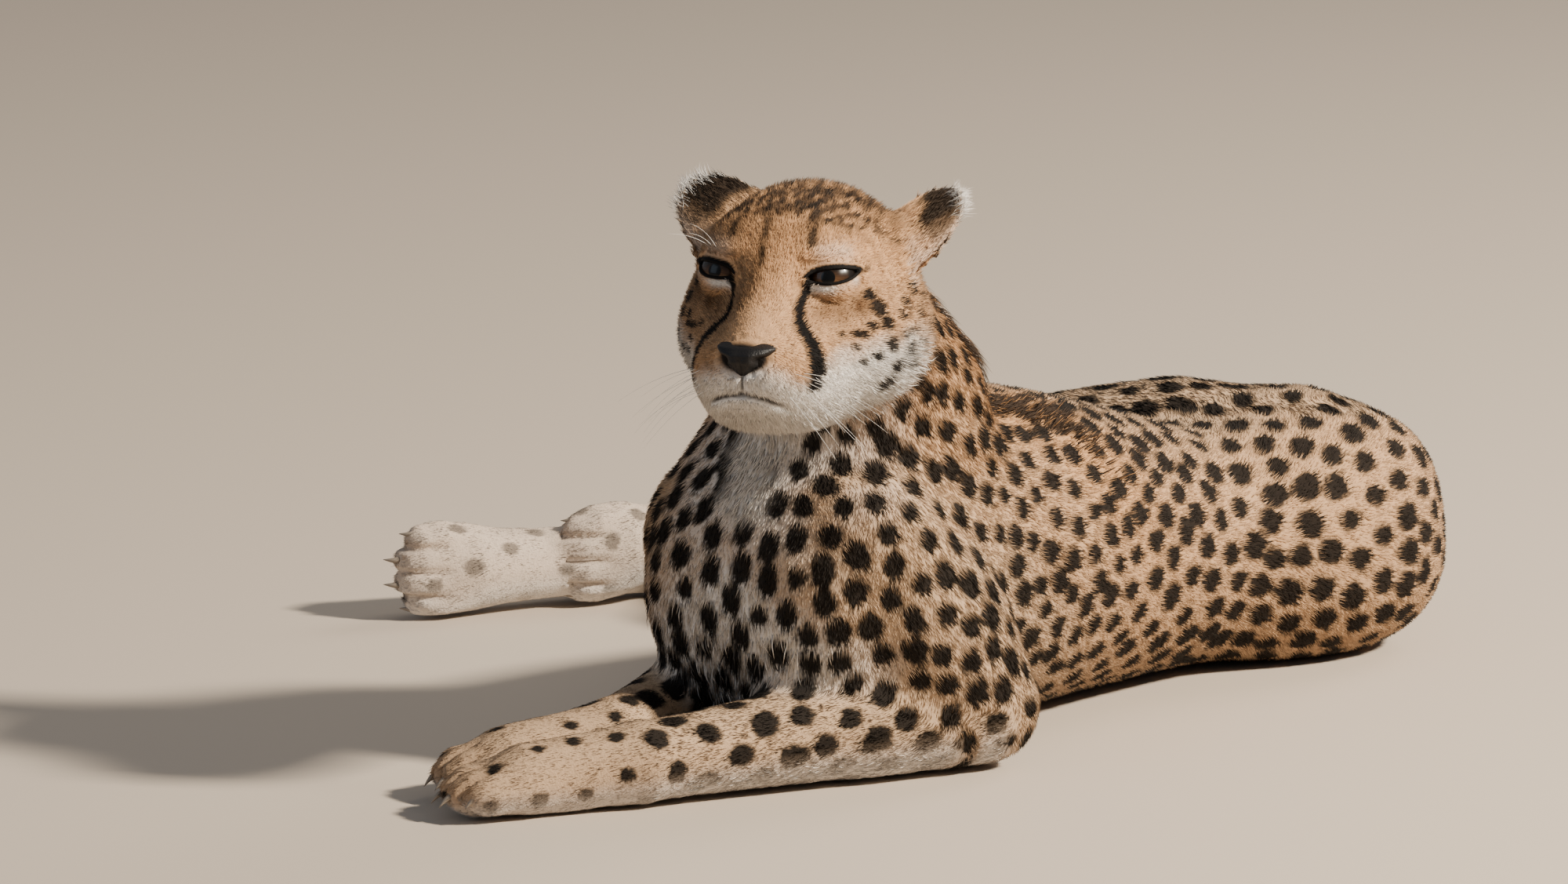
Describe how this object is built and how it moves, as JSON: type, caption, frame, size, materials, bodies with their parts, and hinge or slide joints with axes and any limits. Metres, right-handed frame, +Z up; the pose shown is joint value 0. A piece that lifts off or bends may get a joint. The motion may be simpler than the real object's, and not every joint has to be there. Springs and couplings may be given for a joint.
{
  "type": "life-size cheetah model",
  "caption": "Life-size still model of a cheetah lying on its breast, head raised, hindquarters rolled onto one hip, hind legs out to the side.",
  "frame": {"origin": "on the floor, under the middle of the breast, where the chest rests", "axes": "+Z up, -Y the way the chest faces, +X the animal's left side"},
  "size_m": [0.6538, 0.9926, 0.3861],
  "materials": {
    "coat": "short dense fur, tawny with near-black round spots, white underside",
    "nose_leather": "moist black bare skin",
    "eye": "wet amber eye under a clear cornea",
    "claw": "dark horn, worn smooth",
    "whisker": "stiff white hair"
  },
  "bodies": {
    "root": {"head": "coat", "nose": "nose_leather", "eye_left": "eye", "eye_right": "eye", "ear_left": "coat", "ear_right": "coat", "neck": "coat", "chest": "coat", "belly": "coat", "rump": "coat", "upper_arm_left": "coat", "forearm_left": "coat", "forepaw_left": "coat", "upper_arm_right": "coat", "forearm_right": "coat", "forepaw_right": "coat", "thigh_left": "coat", "shank_left": "coat", "hind_foot_left": "coat", "thigh_right": "coat", "shank_right": "coat", "hind_foot_right": "coat", "tail_root": "coat", "tail_middle": "coat", "tail_tip": "coat"}
  },
  "joints": []
}
